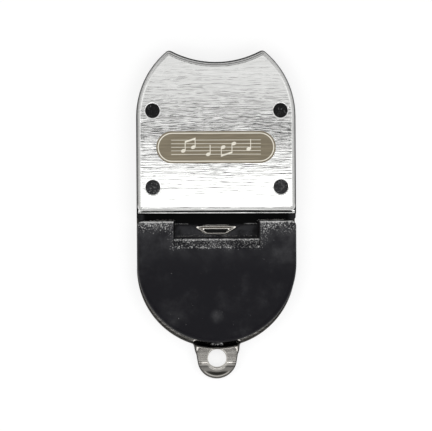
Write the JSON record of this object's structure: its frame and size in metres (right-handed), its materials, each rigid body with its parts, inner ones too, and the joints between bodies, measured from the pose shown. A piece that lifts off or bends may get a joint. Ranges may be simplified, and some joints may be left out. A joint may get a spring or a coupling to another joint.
{
  "type": "nose flute",
  "caption": "Flat nose flute: drawn steel cover over a black duct block, black mouth cover with a sounding window, and a steel back plate with a lanyard tab.",
  "frame": {"origin": "centre of the round mouth end's arc, on the flat back face of the back plate", "axes": "+X to the right seen from the front, +Y towards the nose end, +Z out of the front face"},
  "size_m": [0.045, 0.0927, 0.0082],
  "materials": {
    "front_steel": "brushed across its width",
    "back_steel": "satin",
    "black_moulding": "satin moulded",
    "black_rivet": "smooth moulded"
  },
  "bodies": {
    "root": {"back_plate": "back_steel", "duct_block": "black_moulding", "front_cover": "front_steel", "mouth_cover": "black_moulding", "rivet_upper_left": "black_rivet", "rivet_upper_right": "black_rivet", "rivet_lower_left": "black_rivet", "rivet_lower_right": "black_rivet"}
  },
  "joints": []
}
